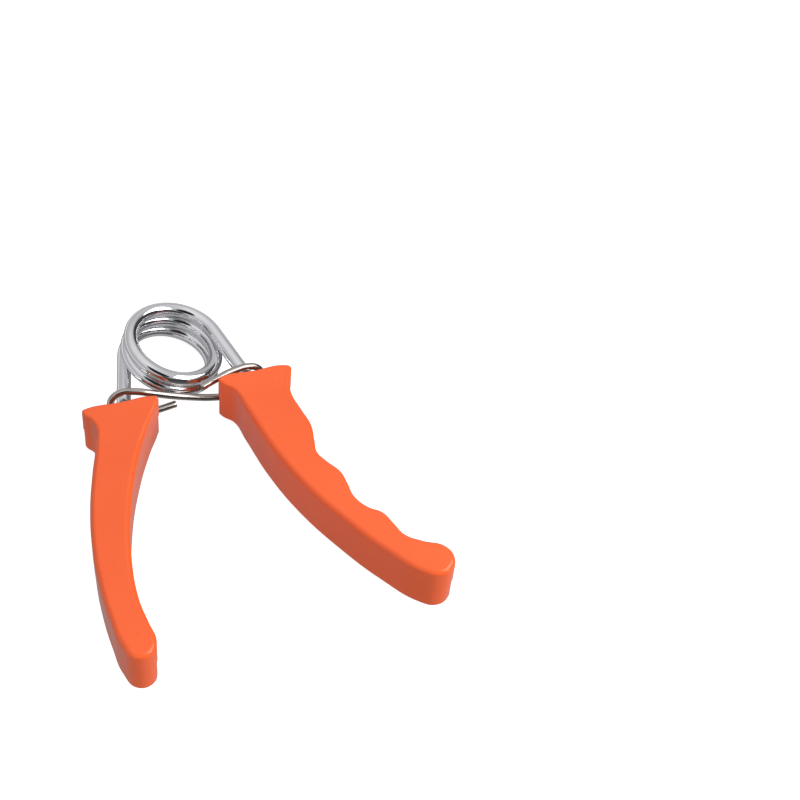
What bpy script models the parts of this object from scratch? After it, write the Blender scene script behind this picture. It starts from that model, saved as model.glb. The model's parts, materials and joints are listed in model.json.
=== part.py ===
"""Hand grip strengthener: two hollow plastic handles on the legs of a torsion spring.

The grip lies flat on its lower faces, with the coil towards +Y and the handles towards -Y.
The palm handle is on the -X side and the finger handle, with its four finger grooves, on +X.
The origin is the bottom centre of the whole grip's bounding box, and +Z points up.
"""
import math

import bmesh
import bpy
from mathutils import Matrix, Vector

MM = 0.001

# Where the coil's centre stands in the row's frame, in millimetres.
COIL_CENTRE = (-5.7, 42.62, 8.36)

# Torsion spring, one round wire.
WIRE_D = 4.0             # wire diameter
COIL_R = 12.6            # mean radius of the coil
COIL_PITCH = 4.2         # rise per turn, so neighbouring turns just clear each other
LEG_ANGLE = 15.0         # each leg's angle from the centre line, in degrees
LEG_END_Y = -37.5        # how far down each leg reaches inside its handle
COIL_STEP = 12.0         # degrees between points along the coil
LEG_POINTS = 6           # points along each straight leg
END_FACE_X = 18.5        # where a leg enters its handle, from the centre line

# Stop link, a piece of thinner wire hooked over both legs.
LINK_D = 2.0

# Handles, each moulded as an upper and a lower shell that meet at mid height.
HANDLE_T = 16.0          # thickness of a closed handle, across both shells
EDGE_R = 0.8             # rounding of the long edges
SEAM = 0.3               # gap between the two shells
WIRE_CLEARANCE = 0.3     # gap all round the wire in its channel
POCKET_R = 2.9           # half width of a hollow pocket
POCKET_DEPTH = 5.6       # depth of a pocket above or below the seam
PIN_D = 2.4              # locating pins on the lower shells
PIN_HEIGHT = 2.6
PIN_CLEARANCE = 0.3      # gap round a pin in its socket

# Outline of the palm handle in plan, from the coil's centre, in millimetres. It runs
# from the middle of the end face, over the flange, down the outer side to the rounded
# end, and back up the inner side.
PALM_OUTLINE = [
    (-20.0, -19.9), (-29.0, -19.5), (-30.4, -20.1), (-30.3, -21.3), (-28.9, -23.3), (-28.1, -26.6),
    (-29.3, -31.3), (-32.8, -41.4), (-36.0, -52.2), (-38.4, -64.6), (-39.4, -76.0), (-39.3, -86.5),
    (-38.6, -94.0), (-36.1, -99.2), (-31.6, -99.2), (-29.6, -95.5), (-30.1, -90.0), (-30.7, -82.5),
    (-29.3, -69.5), (-25.6, -54.5), (-19.9, -39.9), (-13.6, -28.0), (-10.0, -22.4), (-9.4, -21.0),
    (-10.6, -20.2),
]

# The same for the finger handle: its outer side has four grooves with bumps between them.
FINGER_OUTLINE = [
    (9.6, -18.7), (18.5, -19.2), (27.4, -19.6), (28.9, -20.6), (28.5, -22.5), (26.9, -26.3),
    (26.4, -29.5), (27.4, -35.8), (28.3, -41.5), (27.5, -47.0), (27.0, -50.8), (28.6, -54.6),
    (31.0, -58.8), (31.6, -63.0), (31.9, -67.5), (34.2, -71.9), (37.6, -75.0), (39.2, -79.2),
    (40.8, -83.3), (44.8, -86.6), (49.6, -89.6), (50.9, -93.6), (49.1, -97.0), (45.3, -98.0),
    (41.6, -95.9), (33.8, -85.9), (26.6, -73.7), (19.8, -59.3), (15.3, -45.0), (12.6, -30.5),
    (11.4, -24.2), (8.7, -20.9), (8.3, -19.4),
]

# Middle line of each handle's hollow part, from the spring socket to the solid end.
PALM_SPINE = [(-29.0, -46.5), (-32.5, -58.0), (-34.6, -70.0), (-35.3, -82.0), (-35.2, -91.0)]
FINGER_SPINE = [(21.6, -46.5), (25.2, -60.0), (30.8, -72.5), (37.2, -83.5), (42.6, -90.8)]
POCKETS = 4              # pockets along the hollow part, with a rib between neighbours
RIB = 1.8                # thickness of a rib

# Locating pins, one beside the spring socket and one in the solid end.
PALM_PINS = [(-15.7, -26.6), (-34.4, -96.2)]
FINGER_PINS = [(15.9, -30.5), (46.3, -94.2)]

# Way of the stop link's wire: stub over the finger leg, round it, slanting across under
# the coil, over the palm leg, round it, and back under it.
LINK_POINTS = [
    (3.6, -18.3, 4.0), (8.8, -16.6, 4.3), (14.0, -15.0, 4.2), (18.2, -14.3, 3.7), (21.2, -14.4, 2.3),
    (22.2, -15.2, 0.0), (21.0, -16.6, -2.5), (18.0, -17.3, -3.4), (13.0, -17.5, -3.5),
    (7.5, -17.0, -3.2), (1.0, -16.0, -2.0), (-4.6, -15.5, 0.0), (-10.2, -14.9, 2.3),
    (-14.0, -14.1, 3.3), (-18.0, -13.5, 3.4), (-20.5, -13.7, 2.2), (-21.4, -14.4, 0.0),
    (-20.4, -15.5, -2.5), (-17.6, -16.5, -3.4), (-10.0, -16.9, -3.4), (-3.2, -16.2, -3.4),
]


def clear_scene():
    for obj in list(bpy.data.objects):
        bpy.data.objects.remove(obj)


def new_collection(name):
    group = bpy.data.collections.new(name)
    bpy.context.scene.collection.children.link(group)
    return group


def material(name, colour, roughness, metallic):
    mat = bpy.data.materials.new(name)
    mat.use_nodes = True
    shader = mat.node_tree.nodes["Principled BSDF"]
    shader.inputs["Base Color"].default_value = (*colour, 1.0)
    shader.inputs["Roughness"].default_value = roughness
    shader.inputs["Metallic"].default_value = metallic
    return mat


def place(point):
    """Take a point given in millimetres from the coil's centre into the row's frame."""
    return (Vector(point) + Vector(COIL_CENTRE)) * MM


def curve_object(name, dimensions, group):
    curve = bpy.data.curves.new(name, "CURVE")
    curve.dimensions = dimensions
    obj = bpy.data.objects.new(name, curve)
    group.objects.link(obj)
    return obj


def wire_object(name, points, diameter, group):
    """A round wire with flat cut ends along a row of points in the row's frame."""
    obj = curve_object(name, "3D", group)
    curve = obj.data
    curve.bevel_depth = diameter / 2 * MM
    curve.bevel_resolution = 3
    curve.use_fill_caps = True
    spline = curve.splines.new("POLY")
    spline.points.add(len(points) - 1)
    for spline_point, point in zip(spline.points, points):
        spline_point.co = (*point, 1.0)
    return obj


def to_mesh_object(obj, group):
    """Swap a curve object for a welded mesh object of the same name and place."""
    depsgraph = bpy.context.evaluated_depsgraph_get()
    mesh = bpy.data.meshes.new_from_object(obj.evaluated_get(depsgraph))
    name, world = obj.name, obj.matrix_world.copy()
    bpy.data.objects.remove(obj)
    bm = bmesh.new()
    bm.from_mesh(mesh)
    bmesh.ops.remove_doubles(bm, verts=bm.verts, dist=0.00001)
    bmesh.ops.recalc_face_normals(bm, faces=bm.faces)
    bm.to_mesh(mesh)
    bm.free()
    result = bpy.data.objects.new(name, mesh)
    result.matrix_world = world
    group.objects.link(result)
    return result


def boolean(target, cutter, operation):
    modifier = target.modifiers.new(operation.lower(), "BOOLEAN")
    modifier.operation = operation
    modifier.solver = "EXACT"
    modifier.object = cutter


def smooth_line(points, steps):
    """Catmull-Rom curve through open points, with this many steps between neighbours."""
    ends = [points[0] * 2 - points[1], *points, points[-1] * 2 - points[-2]]
    line = []
    for i in range(1, len(ends) - 2):
        before, start, end, after = ends[i - 1:i + 3]
        for step in range(steps):
            t = step / steps
            line.append(0.5 * ((2 * start) + (end - before) * t
                               + (2 * before - 5 * start + 4 * end - after) * t ** 2
                               + (3 * start - before - 3 * end + after) * t ** 3))
    line.append(points[-1])
    return line


# The spring's axis leans so that both legs reach the handles at mid height.

WRAP = 900.0 - 2 * LEG_ANGLE
HALF_RISE = COIL_PITCH * WRAP / 360.0 / 2
COIL_TILT = Matrix.Rotation(math.atan(HALF_RISE / END_FACE_X), 3, "Y")


def coil_point(angle):
    """Centre of the wire at an angle in degrees, counter-clockwise from +X seen from above."""
    turn = math.radians(angle)
    rise = HALF_RISE - COIL_PITCH * (angle - LEG_ANGLE) / 360.0
    return COIL_TILT @ Vector((COIL_R * math.cos(turn), COIL_R * math.sin(turn), rise))


def leg_point(side, length):
    """Centre of the wire on a leg: side +1 is the finger leg, -1 the palm leg."""
    lean = math.radians(LEG_ANGLE)
    start = Vector((side * COIL_R * math.cos(lean), COIL_R * math.sin(lean), side * HALF_RISE))
    way = Vector((side * math.sin(lean), -math.cos(lean), 0.0))
    return COIL_TILT @ (start + way * length)


LEG_LENGTH = (COIL_R * math.sin(math.radians(LEG_ANGLE)) - LEG_END_Y) / math.cos(math.radians(LEG_ANGLE))


def make_spring(group, steel):
    lengths = [LEG_LENGTH * (LEG_POINTS - i) / LEG_POINTS for i in range(LEG_POINTS)]
    count = round(WRAP / COIL_STEP)
    points = [leg_point(1, length) for length in lengths]
    points += [coil_point(LEG_ANGLE + WRAP * i / count) for i in range(count + 1)]
    points += [leg_point(-1, length) for length in reversed(lengths)]
    spring = wire_object("torsion_spring", [place(p) for p in points], WIRE_D, group)
    spring.data.materials.append(steel)


def make_link(group, steel):
    points = smooth_line([Vector(p) for p in LINK_POINTS], 3)
    link = wire_object("stop_link", [place(p) for p in points], LINK_D, group)
    link.data.materials.append(steel)


def handle_block(name, outline, group):
    """The whole handle as one rounded slab, before it is split into shells."""
    obj = curve_object(name, "2D", group)
    curve = obj.data
    curve.fill_mode = "BOTH"
    curve.resolution_u = 3
    curve.bevel_depth = EDGE_R * MM
    curve.bevel_resolution = 2
    curve.offset = -EDGE_R * MM
    curve.extrude = (HANDLE_T / 2 - EDGE_R) * MM
    spline = curve.splines.new("BEZIER")
    spline.bezier_points.add(len(outline) - 1)
    for bezier_point, (x, y) in zip(spline.bezier_points, outline):
        bezier_point.co = (x * MM, y * MM, 0.0)
        bezier_point.handle_left_type = "AUTO"
        bezier_point.handle_right_type = "AUTO"
    spline.use_cyclic_u = True
    obj.location = place((0.0, 0.0, 0.0))
    bpy.context.view_layer.update()
    return to_mesh_object(obj, group)


def half_shell(name, block, side, group):
    """The part of the block above (side +1) or below (side -1) the seam."""
    shell = bpy.data.objects.new(name, block.data.copy())
    shell.location = block.location
    group.objects.link(shell)
    bm = bmesh.new()
    bm.from_mesh(shell.data)
    cut = bmesh.ops.bisect_plane(bm, geom=bm.verts[:] + bm.edges[:] + bm.faces[:],
                                 plane_co=(0, 0, side * SEAM / 2 * MM), plane_no=(0, 0, side),
                                 clear_inner=True)
    rim = [item for item in cut["geom_cut"] if isinstance(item, bmesh.types.BMEdge)]
    bmesh.ops.contextual_create(bm, geom=rim)
    bmesh.ops.recalc_face_normals(bm, faces=bm.faces)
    bm.to_mesh(shell.data)
    bm.free()
    return shell


def cutter_tube(name, points, radius, group, depth=None):
    """A round or, with a depth, an oval bar that cuts a channel or a pocket."""
    tube = wire_object(name, [Vector(p) * MM for p in points], radius * 2, group)
    bpy.context.view_layer.update()
    tube = to_mesh_object(tube, group)
    if depth:
        tube.data.transform(Matrix.Diagonal((1.0, 1.0, depth / radius, 1.0)))
    tube.location = place((0.0, 0.0, 0.0))
    tube.hide_render = True
    tube.display_type = "WIRE"
    return tube


def make_pockets(name, spine, group):
    line = smooth_line([Vector((x, y, 0.0)) for x, y in spine], 6)
    share = (len(line) - 1) // POCKETS
    pockets = []
    for i in range(POCKETS):
        part = line[i * share:(i + 1) * share + 1]
        way_in = (part[1] - part[0]).normalized() * RIB / 2
        way_out = (part[-1] - part[-2]).normalized() * RIB / 2
        part = [part[0] + way_in, *part[1:-1], part[-1] - way_out]
        pockets.append(cutter_tube(f"{name}_pocket_{i}", part, POCKET_R, group, POCKET_DEPTH))
    return pockets


def pin_object(name, place_xy, radius, low, high, group):
    bpy.ops.mesh.primitive_cylinder_add(vertices=16, radius=radius * MM, depth=(high - low) * MM,
                                        location=place((*place_xy, (low + high) / 2)))
    pin = bpy.context.object
    pin.name = name
    for owner in list(pin.users_collection):
        owner.objects.unlink(pin)
    group.objects.link(pin)
    pin.hide_render = True
    pin.display_type = "WIRE"
    return pin


def make_handle(name, outline, spine, pins, leg_side, parts, cutters, plastic):
    """Both shells of one handle, with the spring's channel, the pockets and the pins."""
    block = handle_block(f"{name}_block", outline, cutters)
    channel_line = [leg_point(leg_side, LEG_LENGTH * 0.3), leg_point(leg_side, LEG_LENGTH + WIRE_CLEARANCE)]
    channel = cutter_tube(f"{name}_channel", channel_line, WIRE_D / 2 + WIRE_CLEARANCE, cutters)
    pockets = make_pockets(name, spine, cutters)
    for label, side in (("upper", 1), ("lower", -1)):
        shell = half_shell(f"{name}_{label}_shell", block, side, parts)
        shell.data.materials.clear()
        shell.data.materials.append(plastic)
        for cutter in [channel, *pockets]:
            boolean(shell, cutter, "DIFFERENCE")
        for i, xy in enumerate(pins):
            if side > 0:
                socket = pin_object(f"{name}_socket_{i}", xy, PIN_D / 2 + PIN_CLEARANCE,
                                    -1.0, PIN_HEIGHT + PIN_CLEARANCE, cutters)
                boolean(shell, socket, "DIFFERENCE")
            else:
                pin = pin_object(f"{name}_pin_{i}", xy, PIN_D / 2, -2.0, PIN_HEIGHT, cutters)
                boolean(shell, pin, "UNION")
    bpy.data.objects.remove(block)


def main():
    clear_scene()
    parts = new_collection("hand_grip_strengthener")
    cutters = new_collection("cutters")
    chrome = material("chrome_wire", (0.78, 0.78, 0.80), 0.08, 1.0)
    zinc = material("bright_wire", (0.62, 0.60, 0.57), 0.22, 1.0)
    orange = material("orange_plastic", (0.95, 0.17, 0.04), 0.3, 0.0)
    make_spring(parts, chrome)
    make_link(parts, zinc)
    make_handle("palm_handle", PALM_OUTLINE, PALM_SPINE, PALM_PINS, -1, parts, cutters, orange)
    make_handle("finger_handle", FINGER_OUTLINE, FINGER_SPINE, FINGER_PINS, 1, parts, cutters, orange)


main()
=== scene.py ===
"""Looks for a hand grip strengthener: a chromed torsion spring, a wire stop link hooked over
its legs, and two moulded handles that are each closed from an upper and a lower shell.
"""
import json
import math

import bmesh
import bpy
from mathutils import Matrix, Vector


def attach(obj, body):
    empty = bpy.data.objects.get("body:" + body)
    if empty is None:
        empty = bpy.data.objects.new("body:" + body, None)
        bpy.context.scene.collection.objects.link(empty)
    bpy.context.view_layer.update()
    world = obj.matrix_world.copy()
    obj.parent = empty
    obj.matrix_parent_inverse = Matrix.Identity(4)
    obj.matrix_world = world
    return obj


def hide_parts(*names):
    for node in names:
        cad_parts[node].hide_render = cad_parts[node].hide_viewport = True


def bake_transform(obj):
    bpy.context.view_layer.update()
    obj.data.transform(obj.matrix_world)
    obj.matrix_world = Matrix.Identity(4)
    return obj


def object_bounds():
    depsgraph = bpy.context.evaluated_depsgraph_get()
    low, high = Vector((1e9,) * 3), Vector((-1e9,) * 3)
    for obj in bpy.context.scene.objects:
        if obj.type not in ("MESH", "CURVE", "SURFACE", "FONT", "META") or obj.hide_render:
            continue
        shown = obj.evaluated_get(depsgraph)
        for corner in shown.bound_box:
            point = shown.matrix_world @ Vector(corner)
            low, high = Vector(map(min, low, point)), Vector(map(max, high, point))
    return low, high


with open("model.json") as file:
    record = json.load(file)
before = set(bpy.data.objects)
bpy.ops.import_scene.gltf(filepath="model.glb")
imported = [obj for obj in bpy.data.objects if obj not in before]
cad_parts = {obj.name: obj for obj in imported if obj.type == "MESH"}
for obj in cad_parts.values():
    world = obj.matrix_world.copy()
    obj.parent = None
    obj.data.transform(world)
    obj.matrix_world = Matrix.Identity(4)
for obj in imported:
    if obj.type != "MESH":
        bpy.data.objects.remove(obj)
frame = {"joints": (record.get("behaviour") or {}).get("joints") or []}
cad_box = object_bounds()
bpy.ops.object.select_all(action="DESELECT")

# Torsion spring. One length of hard 4 mm wire, wound nearly two and a half turns and chromed
# all over; both ends run straight on into the handles. The coil leans to one side, so that
# the two legs, which leave it at different heights, reach the handles at mid height.

MM = 0.001
WIRE_R = 2.0 * MM
COIL_R = 12.6 * MM
COIL_PITCH = 4.2 * MM
WOUND = math.radians(870)
LEG_LEAN = math.radians(15)
LEG_END = 37.5 * MM
MOUTH_X = 18.5 * MM
WIRE_SIDES = 40
WINDING_STEPS = 232
LEG_PARTS = 3
WIRE_END_EDGE = 0.2 * WIRE_R
SMOOTH_UNDER = math.radians(40)

squeeze = next(joint for joint in frame["joints"] if joint["name"] == "squeeze")
coil_centre = Vector(squeeze["pos_m"])
coil_rise = COIL_PITCH * WOUND / math.tau
leg_length = (COIL_R * math.sin(LEG_LEAN) + LEG_END) / math.cos(LEG_LEAN)
coil_lean = Matrix.Rotation(math.atan(coil_rise / 2 / MOUTH_X), 4, "Y")


def select_near(obj, centre, reach):
    """Selects just the corners of a mesh in edit mode that lie within reach of a point."""
    bpy.ops.mesh.select_all(action="DESELECT")
    mesh = bmesh.from_edit_mesh(obj.data)
    for corner in mesh.verts:
        corner.select = (corner.co - centre).length < reach
    mesh.select_flush(True)
    bmesh.update_edit_mesh(obj.data)


def settle(obj, place):
    """Puts a finished piece in its place, with its object back at the origin."""
    obj.matrix_world = place @ obj.matrix_world
    bpy.ops.object.transform_apply(location=True, rotation=True, scale=True)


bpy.ops.mesh.primitive_circle_add(vertices=WIRE_SIDES, radius=WIRE_R,
                                  rotation=(math.pi / 2, 0, 0),
                                  location=(COIL_R, 0, coil_rise / 2))
spring = bpy.context.object
spring.name = "torsion_spring_wire"
bpy.ops.object.transform_apply(location=True, rotation=True, scale=True)
bpy.ops.object.modifier_add(type="SCREW")
winding = spring.modifiers[-1]
winding.angle = WOUND
winding.screw_offset = -coil_rise
winding.steps = winding.render_steps = WINDING_STEPS
bpy.ops.object.modifier_apply(modifier=winding.name)
for turn in (0.0, WOUND):
    start = Vector((COIL_R * math.cos(turn), COIL_R * math.sin(turn),
                    coil_rise * (0.5 - turn / WOUND)))
    way = Vector((math.sin(turn), -math.cos(turn), 0)) * (1 if turn == 0 else -1)
    bpy.ops.object.mode_set(mode="EDIT")
    bpy.ops.mesh.select_mode(type="VERT")
    select_near(spring, start, WIRE_R * 1.03)
    stretch = way * leg_length / LEG_PARTS
    for part in range(LEG_PARTS):
        bpy.ops.mesh.extrude_region_move(TRANSFORM_OT_translate={"value": stretch})
    bpy.ops.mesh.edge_face_add()
    bpy.ops.mesh.inset(thickness=WIRE_END_EDGE)
    bpy.ops.transform.translate(value=way * WIRE_END_EDGE)
    bpy.ops.mesh.select_all(action="SELECT")
    bpy.ops.mesh.normals_make_consistent(inside=False)
    bpy.ops.object.mode_set(mode="OBJECT")
bpy.ops.object.shade_smooth_by_angle(angle=SMOOTH_UNDER)
settle(spring, Matrix.Translation(coil_centre) @ coil_lean @ Matrix.Rotation(LEG_LEAN, 4, "Z"))


def add_node(tree, kind, x, y, **settings):
    """Adds one shader node at a place in the tree, with its settings or socket values."""
    node = tree.nodes.new(kind)
    node.location = (x, y)
    for name, value in settings.items():
        if hasattr(node, name):
            setattr(node, name, value)
        else:
            node.inputs[name.replace("_", " ")].default_value = value
    return node


def finish_group():
    """Uneven polish: fine streaks and soft hazy patches, as roughness and as bump height."""
    group = bpy.data.node_groups.new("uneven_polish", "ShaderNodeTree")
    for name, kind in (("Vector", "NodeSocketVector"), ("Fine Scale", "NodeSocketFloat"),
                       ("Patch Scale", "NodeSocketFloat"), ("Smooth", "NodeSocketFloat"),
                       ("Hazy", "NodeSocketFloat")):
        group.interface.new_socket(name, in_out="INPUT", socket_type=kind)
    group.interface.new_socket("Roughness", in_out="OUTPUT", socket_type="NodeSocketFloat")
    group.interface.new_socket("Height", in_out="OUTPUT", socket_type="NodeSocketFloat")
    into = add_node(group, "NodeGroupInput", -700, 0)
    out = add_node(group, "NodeGroupOutput", 500, 0)
    fine = add_node(group, "ShaderNodeTexNoise", -450, 150, Detail=4.0, Roughness=0.6)
    patch = add_node(group, "ShaderNodeTexNoise", -450, -150, Detail=3.0, Roughness=0.5)
    both = add_node(group, "ShaderNodeMath", -200, 0, operation="MULTIPLY")
    spread = add_node(group, "ShaderNodeMapRange", 50, 0)
    spread.inputs["From Min"].default_value = 0.12
    spread.inputs["From Max"].default_value = 0.42
    link = group.links.new
    link(into.outputs["Vector"], fine.inputs["Vector"])
    link(into.outputs["Vector"], patch.inputs["Vector"])
    link(into.outputs["Fine Scale"], fine.inputs["Scale"])
    link(into.outputs["Patch Scale"], patch.inputs["Scale"])
    link(fine.outputs["Fac"], both.inputs[0])
    link(patch.outputs["Fac"], both.inputs[1])
    link(both.outputs["Value"], spread.inputs["Value"])
    link(into.outputs["Smooth"], spread.inputs["To Min"])
    link(into.outputs["Hazy"], spread.inputs["To Max"])
    link(spread.outputs["Result"], out.inputs["Roughness"])
    link(fine.outputs["Fac"], out.inputs["Height"])
    return group


uneven_polish = finish_group()


def wire_finish(name, tones, smooth, hazy, stretch, height):
    """Bright metal with a slight tone change, uneven polish and a very fine surface."""
    metal = bpy.data.materials.new(name)
    metal.use_nodes = True
    tree = metal.node_tree
    shader = tree.nodes["Principled BSDF"]
    shader.inputs["Metallic"].default_value = 1.0
    place = add_node(tree, "ShaderNodeTexCoord", -1100, 0)
    along = add_node(tree, "ShaderNodeMapping", -900, 0, Scale=stretch)
    cloud = add_node(tree, "ShaderNodeTexNoise", -650, 250, Scale=90.0, Detail=3.0)
    tone = add_node(tree, "ShaderNodeValToRGB", -400, 250)
    for stop, colour in zip(tone.color_ramp.elements, tones):
        stop.color = (*colour, 1.0)
    tone.color_ramp.elements[0].position = 0.35
    tone.color_ramp.elements[1].position = 0.65
    polish = add_node(tree, "ShaderNodeGroup", -650, -50, node_tree=uneven_polish,
                      Fine_Scale=2500.0, Patch_Scale=160.0, Smooth=smooth, Hazy=hazy)
    bump = add_node(tree, "ShaderNodeBump", -300, -250, Strength=0.15, Distance=height)
    link = tree.links.new
    link(place.outputs["Object"], along.inputs["Vector"])
    link(along.outputs["Vector"], polish.inputs["Vector"])
    link(place.outputs["Object"], cloud.inputs["Vector"])
    link(cloud.outputs["Fac"], tone.inputs["Fac"])
    link(tone.outputs["Color"], shader.inputs["Base Color"])
    link(polish.outputs["Roughness"], shader.inputs["Roughness"])
    link(polish.outputs["Height"], bump.inputs["Height"])
    link(bump.outputs["Normal"], shader.inputs["Normal"])
    return metal


CHROME_TONES = [(0.80, 0.80, 0.82), (0.87, 0.87, 0.89)]
chrome = wire_finish("polished_chrome", CHROME_TONES, smooth=0.015, hazy=0.06,
                     stretch=(1.0, 1.0, 1.0), height=0.01 * MM)
spring.data.materials.append(chrome)
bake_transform(spring)
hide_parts("torsion_spring")

# Stop link. A cut length of 2 mm bright wire, bent round both legs just above the handles;
# it holds them in against the spring. One cut end comes back over the finger leg, the other
# under the palm leg.

LINK_R = 1.0 * MM
LINK_WAY = [
    (3.6, -18.3, 4.0), (8.8, -16.6, 4.3), (14.0, -15.0, 4.2), (18.2, -14.3, 3.7),
    (21.2, -14.4, 2.3), (22.2, -15.2, 0.0), (21.0, -16.6, -2.5), (18.0, -17.3, -3.4),
    (13.0, -17.5, -3.5),
    (7.5, -17.0, -3.2), (1.0, -16.0, -2.0), (-4.6, -15.5, 0.0), (-10.2, -14.9, 2.3),
    (-14.0, -14.1, 3.3), (-18.0, -13.5, 3.4), (-20.5, -13.7, 2.2), (-21.4, -14.4, 0.0),
    (-20.4, -15.5, -2.5), (-17.6, -16.5, -3.4), (-10.0, -16.9, -3.4), (-3.2, -16.2, -3.4),
]

bpy.ops.curve.primitive_bezier_curve_add()
stop_link = bpy.context.object
stop_link.name = "stop_link_wire"
wire = stop_link.data
wire.splines[0].bezier_points.add(len(LINK_WAY) - 2)
for knot, point in zip(wire.splines[0].bezier_points, LINK_WAY):
    knot.co = Vector(point) * MM
    knot.handle_left_type = knot.handle_right_type = "AUTO"
wire.resolution_u = 8
wire.bevel_depth = LINK_R
wire.bevel_resolution = 6
wire.use_fill_caps = True
bpy.ops.object.convert(target="MESH")
stop_link = bpy.context.object
bpy.ops.object.mode_set(mode="EDIT")
bpy.ops.mesh.select_all(action="SELECT")
bpy.ops.mesh.remove_doubles(threshold=0.01 * MM)
bpy.ops.mesh.normals_make_consistent(inside=False)
bpy.ops.object.mode_set(mode="OBJECT")
bpy.ops.object.modifier_add(type="BEVEL")
cut_edge = stop_link.modifiers[-1]
cut_edge.width = 0.12 * MM
cut_edge.segments = 2
cut_edge.limit_method = "ANGLE"
cut_edge.angle_limit = math.radians(60)
bpy.ops.object.modifier_apply(modifier=cut_edge.name)
bpy.ops.object.shade_smooth_by_angle(angle=SMOOTH_UNDER)
settle(stop_link, Matrix.Translation(coil_centre))
DRAWN_WIRE_TONES = [(0.42, 0.38, 0.35), (0.54, 0.50, 0.47)]
bright_wire = wire_finish("bright_drawn_wire", DRAWN_WIRE_TONES, smooth=0.16, hazy=0.30,
                          stretch=(0.15, 1.0, 1.0), height=0.02 * MM)
stop_link.data.materials.append(bright_wire)
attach(stop_link, "link")
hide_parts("stop_link")

# Palm handle. The smooth side of the grip, moulded in gloss orange plastic as an upper and a
# lower shell that meet at mid height. The upper shell's long edge is well rounded and grows
# crisp towards the end face, where a short flange stops the heel of the hand.

HALF_THICK = 8.0 * MM
SEAM_GAP = 0.08 * MM
SEAM_EDGE = 0.15 * MM
CRISP_EDGE = 0.7 * MM
SOFT_EDGE = 1.5 * MM
LOW_EDGE = 0.6 * MM
CRISP_RUN = 2.0 * MM
SOFTENING_RUN = 16.0 * MM
EDGE_STEPS = 8
LOWER_STEP_IN = 0.2 * MM
CHANNEL_PLAY = 0.25 * MM
CHANNEL_OVERRUN = 0.3 * MM
SHELL_SMOOTH_UNDER = math.radians(32)
HALVES = (("upper", 1, 0.0, SOFT_EDGE), ("lower", -1, LOWER_STEP_IN, LOW_EDGE))
PALM_OUTLINE = [
    (-20.0, -19.9), (-29.0, -19.5), (-30.4, -20.1), (-30.3, -21.3), (-28.9, -23.3), (-28.1, -26.6),
    (-29.3, -31.3), (-32.8, -41.4), (-36.0, -52.2), (-38.4, -64.6), (-39.4, -76.0), (-39.3, -86.5),
    (-38.6, -94.0), (-36.1, -99.2), (-31.6, -99.2), (-29.6, -95.5), (-30.1, -90.0), (-30.7, -82.5),
    (-29.3, -69.5), (-25.6, -54.5), (-19.9, -39.9), (-13.6, -28.0), (-10.0, -22.4), (-9.4, -21.0),
    (-10.6, -20.2),
]


def moulded_shell(name, outline, side, step_in, soft_edge):
    """One half of a handle, from the seam out to its flat face. Side is 1 above, -1 below."""
    bpy.ops.curve.primitive_bezier_circle_add()
    knots = bpy.context.object.data.splines[0].bezier_points
    knots.add(len(outline) - 4)
    for knot, (x, y) in zip(knots, outline):
        knot.co = (x * MM, y * MM, 0)
        knot.handle_left_type = knot.handle_right_type = "AUTO"
    bpy.context.object.data.resolution_u = 8
    bpy.ops.object.convert(target="MESH")
    shell = bpy.context.object
    shell.name = name
    bpy.ops.object.mode_set(mode="EDIT")
    bpy.ops.mesh.select_all(action="SELECT")
    bpy.ops.mesh.edge_face_add()
    mesh = bmesh.from_edit_mesh(shell.data)
    edge = [corner.co.copy() for corner in mesh.faces[0].verts]
    outward = []
    for i in range(len(edge)):
        run = (edge[(i + 1) % len(edge)] - edge[i - 1]).normalized()
        outward.append(Vector((run.y, -run.x, 0)))
    if sum(a.x * b.y - a.y * b.x for a, b in zip(edge, edge[1:] + edge[:1])) < 0:
        outward = [-way for way in outward]
    top_y = max(point.y for point in edge)
    rounding = []
    for point in edge:
        along = min(max((top_y - point.y - CRISP_RUN) / SOFTENING_RUN, 0), 1)
        rounding.append(CRISP_EDGE + (soft_edge - CRISP_EDGE) * along * along * (3 - 2 * along))
    profile = [(SEAM_EDGE, SEAM_GAP, 0, 0), (SEAM_EDGE * 0.3, SEAM_GAP + SEAM_EDGE * 0.3, 0, 0),
               (0, SEAM_GAP + SEAM_EDGE, 0, 0), (0, HALF_THICK / 2, 0, 0)]
    for i in range(EDGE_STEPS + 1):
        turn = math.pi / 2 * i / EDGE_STEPS
        profile.append((0, HALF_THICK, 1 - math.cos(turn), 1 - math.sin(turn)))
    for level, (inset, height, share_in, share_down) in enumerate(profile):
        if level:
            bpy.ops.mesh.extrude_region_move()
        mesh = bmesh.from_edit_mesh(shell.data)
        cap = next(face for face in mesh.faces if face.select)
        for corner, point, way, soft in zip(cap.verts, edge, outward, rounding):
            corner.co = point - way * (inset + step_in + soft * share_in)
            corner.co.z = side * (height - soft * share_down)
        if level == 0:
            # The face that is left behind closes the shell at the seam.
            bpy.ops.mesh.duplicate()
        bmesh.update_edit_mesh(shell.data)
    bpy.ops.mesh.select_all(action="SELECT")
    bpy.ops.mesh.remove_doubles(threshold=0.002 * MM)
    bpy.ops.mesh.normals_make_consistent(inside=False)
    bpy.ops.object.mode_set(mode="OBJECT")
    return shell


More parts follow.
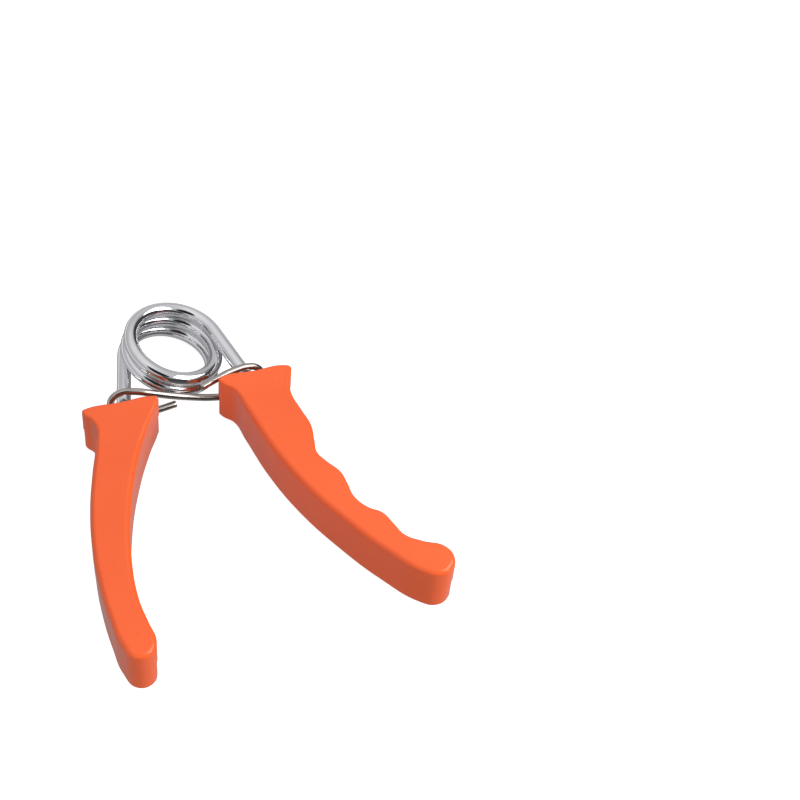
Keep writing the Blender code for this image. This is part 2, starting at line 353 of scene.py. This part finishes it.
def plastic_finish(name, tones, speck_tone):
    """Gloss moulded plastic: a faint tone drift, flow marks, tiny specks and a very fine grain."""
    plastic = bpy.data.materials.new(name)
    plastic.use_nodes = True
    tree = plastic.node_tree
    shader = tree.nodes["Principled BSDF"]
    shader.inputs["IOR"].default_value = 1.49
    place = add_node(tree, "ShaderNodeTexCoord", -1300, 0)
    drift = add_node(tree, "ShaderNodeTexNoise", -1000, 400, Scale=28.0, Detail=2.0)
    tone = add_node(tree, "ShaderNodeValToRGB", -750, 400)
    for stop, colour in zip(tone.color_ramp.elements, tones):
        stop.color = (*colour, 1.0)
    tone.color_ramp.elements[0].position = 0.3
    tone.color_ramp.elements[1].position = 0.7
    grit = add_node(tree, "ShaderNodeTexVoronoi", -1000, 100, Scale=330.0)
    speck = add_node(tree, "ShaderNodeMapRange", -750, 100)
    for socket, value in (("From Min", 0.06), ("From Max", 0.1), ("To Min", 0.22), ("To Max", 0.0)):
        speck.inputs[socket].default_value = value
    speckled = add_node(tree, "ShaderNodeMix", -350, 300, data_type="RGBA")
    speckled.inputs["B"].default_value = (*speck_tone, 1.0)
    polish = add_node(tree, "ShaderNodeGroup", -1000, -200, node_tree=uneven_polish,
                      Fine_Scale=3200.0, Patch_Scale=60.0, Smooth=0.15, Hazy=0.26)
    bump = add_node(tree, "ShaderNodeBump", -350, -250, Strength=0.25, Distance=0.02 * MM)
    link = tree.links.new
    link(place.outputs["Object"], drift.inputs["Vector"])
    link(drift.outputs["Fac"], tone.inputs["Fac"])
    link(place.outputs["Object"], grit.inputs["Vector"])
    link(grit.outputs["Distance"], speck.inputs["Value"])
    link(speck.outputs["Result"], speckled.inputs["Factor"])
    link(tone.outputs["Color"], speckled.inputs["A"])
    link(speckled.outputs["Result"], shader.inputs["Base Color"])
    link(place.outputs["Object"], polish.inputs["Vector"])
    link(polish.outputs["Roughness"], shader.inputs["Roughness"])
    link(polish.outputs["Height"], bump.inputs["Height"])
    link(bump.outputs["Normal"], shader.inputs["Normal"])
    return plastic


ORANGE_TONES = [(0.82, 0.108, 0.022), (0.88, 0.124, 0.028)]
orange_plastic = plastic_finish("orange_moulded_plastic", ORANGE_TONES, (0.30, 0.055, 0.03))


def bore_for_leg(shell, side):
    """Cuts the channel of the spring's leg. Side is 1 for the finger leg, -1 for the palm leg."""
    sin, cos = math.sin(LEG_LEAN), math.cos(LEG_LEAN)
    start = Vector((side * COIL_R * cos, COIL_R * sin, side * coil_rise / 2))
    way = Vector((side * sin, -cos, 0))
    middle = start + way * (leg_length * 0.5 + CHANNEL_OVERRUN)
    bpy.ops.mesh.primitive_cylinder_add(vertices=48, radius=WIRE_R + CHANNEL_PLAY,
                                        depth=leg_length, location=middle)
    bar = bpy.context.object
    bar.rotation_mode = "QUATERNION"
    bar.rotation_quaternion = way.to_track_quat("Z", "Y")
    bpy.ops.object.transform_apply(location=True, rotation=True, scale=True)
    bar.data.transform(coil_lean)
    bpy.context.view_layer.objects.active = shell
    cut = shell.modifiers.new("leg_channel", "BOOLEAN")
    cut.object = bar
    cut.solver = "EXACT"
    bpy.ops.object.modifier_apply(modifier=cut.name)
    bpy.data.objects.remove(bar)


def close_shell(shell, body, node):
    """Settles a finished shell, gives it its plastic and hands it to its body."""
    bpy.ops.object.select_all(action="DESELECT")
    shell.select_set(True)
    bpy.context.view_layer.objects.active = shell
    bpy.ops.object.shade_smooth_by_angle(angle=SHELL_SMOOTH_UNDER)
    bpy.ops.object.modifier_add(type="WEIGHTED_NORMAL")
    flat = shell.modifiers[-1]
    flat.keep_sharp = True
    bpy.ops.object.modifier_apply(modifier=flat.name)
    settle(shell, Matrix.Translation(coil_centre))
    shell.data.materials.append(orange_plastic)
    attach(shell, body)
    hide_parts(node)


for label, side, step_in, soft_edge in HALVES:
    shell = moulded_shell(f"palm_handle_{label}_half", PALM_OUTLINE, side, step_in, soft_edge)
    bore_for_leg(shell, -1)
    close_shell(shell, "palm_side", f"palm_handle_{label}_shell")

# Finger handle. The grip's other side, with four grooves for the fingers and a bump between
# neighbours. It is moulded and closed like the palm handle, from the same orange plastic.

FINGER_OUTLINE = [
    (9.6, -18.7), (18.5, -19.2), (27.4, -19.6), (28.9, -20.6), (28.5, -22.5), (26.9, -26.3),
    (26.4, -29.5), (27.4, -35.8), (28.3, -41.5), (27.5, -47.0), (27.0, -50.8), (28.6, -54.6),
    (31.0, -58.8), (31.6, -63.0), (31.9, -67.5), (34.2, -71.9), (37.6, -75.0), (39.2, -79.2),
    (40.8, -83.3), (44.8, -86.6), (49.6, -89.6), (50.9, -93.6), (49.1, -97.0), (45.3, -98.0),
    (41.6, -95.9), (33.8, -85.9), (26.6, -73.7), (19.8, -59.3), (15.3, -45.0), (12.6, -30.5),
    (11.4, -24.2), (8.7, -20.9), (8.3, -19.4),
]
for label, side, step_in, soft_edge in HALVES:
    shell = moulded_shell(f"finger_handle_{label}_half", FINGER_OUTLINE, side, step_in, soft_edge)
    bore_for_leg(shell, 1)
    close_shell(shell, "finger_side", f"finger_handle_{label}_shell")

# Where it lies: a plain pale floor just under the grip. Only the camera sees it, so it throws
# no light up and doesn't show in the chrome.

FLOOR_GAP = 0.1 * MM

bpy.ops.mesh.primitive_plane_add(size=3.0, location=(0, 0, cad_box[0][2] - FLOOR_GAP))
floor = bpy.context.object
floor.name = "floor"
paper = bpy.data.materials.new("pale_floor")
paper.use_nodes = True
paint = paper.node_tree.nodes["Principled BSDF"]
paint.inputs["Base Color"].default_value = (0.6, 0.6, 0.6, 1.0)
paint.inputs["Roughness"].default_value = 0.9
paint.inputs["Emission Color"].default_value = (1.0, 1.0, 1.0, 1.0)
paint.inputs["Emission Strength"].default_value = 0.8
floor.data.materials.append(paper)
floor.visible_diffuse = False
floor.visible_glossy = False

# Soft studio light. A grey dome, dim below, lights the grip, while its shine mirrors a dome
# with more in it: bright and dark bands, pale floor and a dark patch for the viewer. The wide
# soft panel is mirrored too; the two that brighten the side walls aren't.

sky = bpy.data.worlds.new("studio_dome")
bpy.context.scene.world = sky
sky.use_nodes = True
dome = sky.node_tree
join = dome.links.new
way = add_node(dome, "ShaderNodeTexCoord", -1400, 0)


def dome_greys(stops, x, y):
    """Greys of the dome from straight down to straight up."""
    greys = add_node(dome, "ShaderNodeValToRGB", x, y)
    for place, (position, grey) in enumerate(stops):
        if place in (0, len(stops) - 1):
            stop = greys.color_ramp.elements[0 if place == 0 else -1]
            stop.position = position
        else:
            stop = greys.color_ramp.elements.new(position)
        stop.color = (grey, grey, grey * 1.02, 1)
    join(height.outputs["Result"], greys.inputs["Fac"])
    return greys.outputs["Color"]


def dome_side(towards, low, high, y):
    """Mask that is 1 on the part of the dome that lies towards a direction."""
    along = add_node(dome, "ShaderNodeVectorMath", -1150, y, operation="DOT_PRODUCT")
    along.inputs[1].default_value = Vector(towards).normalized()
    part = add_node(dome, "ShaderNodeMapRange", -950, y)
    part.inputs["From Min"].default_value = low
    part.inputs["From Max"].default_value = high
    join(way.outputs["Generated"], along.inputs[0])
    join(along.outputs["Value"], part.inputs["Value"])
    return part.outputs["Result"]


def dome_mix(factor, under, over, x, y):
    """Lays one colour of the dome over another by a mask."""
    both = add_node(dome, "ShaderNodeMix", x, y, data_type="RGBA")
    join(factor, both.inputs["Factor"])
    join(under, both.inputs["A"])
    if isinstance(over, tuple):
        both.inputs["B"].default_value = over
    else:
        join(over, both.inputs["B"])
    return both.outputs["Result"]


split = add_node(dome, "ShaderNodeSeparateXYZ", -1200, 250)
height = add_node(dome, "ShaderNodeMapRange", -1000, 250)
height.inputs["From Min"].default_value = -1.0
join(way.outputs["Generated"], split.inputs["Vector"])
join(split.outputs["Z"], height.inputs["Value"])
lit = dome_greys([(0.0, 0.05), (0.48, 0.12), (0.53, 0.50), (1.0, 0.56)], -750, 500)
far_side = dome_greys([
    (0.0, 0.36), (0.16, 0.36), (0.35, 0.50), (0.50, 0.88), (0.56, 0.62), (0.60, 0.24),
    (0.64, 0.52), (0.80, 0.55), (0.88, 0.72), (1.0, 0.85),
], -750, 250)
near_side = dome_greys([
    (0.0, 0.45), (0.15, 0.40), (0.22, 0.12), (0.50, 0.07), (0.66, 0.04), (0.74, 0.10),
    (0.80, 0.45), (1.0, 0.70),
], -750, 0)
on_near_side = dome_side((0.80, -0.60, 0.0), 0.08, 0.28, -150)
on_floor = dome_side((0.0, 0.61, -0.79), 0.75, 0.92, -300)
on_viewer = dome_side((-0.22, -0.56, 0.80), 0.92, 0.95, -450)
mirrored = dome_mix(on_near_side, far_side, near_side, -500, 100)
mirrored = dome_mix(on_floor, mirrored, (0.33, 0.33, 0.33, 1), -300, 50)
mirrored = dome_mix(on_viewer, mirrored, (0.02, 0.02, 0.022, 1), -150, 0)
ray = add_node(dome, "ShaderNodeLightPath", -400, -300)
seen = dome_mix(ray.outputs["Is Glossy Ray"], lit, mirrored, 0, 200)
seen = dome_mix(ray.outputs["Is Camera Ray"], seen, (1, 1, 1, 1), 150, 200)
join(seen, dome.nodes["Background"].inputs["Color"])
dome.nodes["Background"].location = (350, 200)
dome.nodes["World Output"].location = (550, 200)
for name, place, size, power, in_mirror in (
    ("soft_panel", (0.42, -0.16, 0.49), (0.65, 0.32), 2.45, True),
    ("side_panel", (0.68, -0.43, 0.28), (0.5, 0.3), 3.9, False),
    ("fill_panel", (-0.52, -0.66, 0.36), (0.5, 0.3), 2.7, False),
):
    bpy.ops.object.light_add(type="AREA", location=place)
    panel = bpy.context.object
    panel.name = name
    panel.data.shape = "RECTANGLE"
    panel.data.size, panel.data.size_y = size
    panel.data.energy = power
    panel.visible_glossy = in_mirror
    panel.rotation_euler = (-panel.location).to_track_quat("-Z", "Y").to_euler()
bpy.context.scene.view_settings.view_transform = "Standard"

# Camera. The viewer stands before the open end, a little to the palm side, and looks down on
# the grip from about half a metre.

bpy.ops.object.camera_add(location=(-0.088365, -0.292673, 0.41737),
                          rotation=[math.radians(turn) for turn in (38.7971, -4.3297, -19.5852)])
camera = bpy.context.object
camera.data.lens = 83.629
camera.data.sensor_width = 36.0
camera.data.clip_start = 0.01
bpy.context.scene.camera = camera
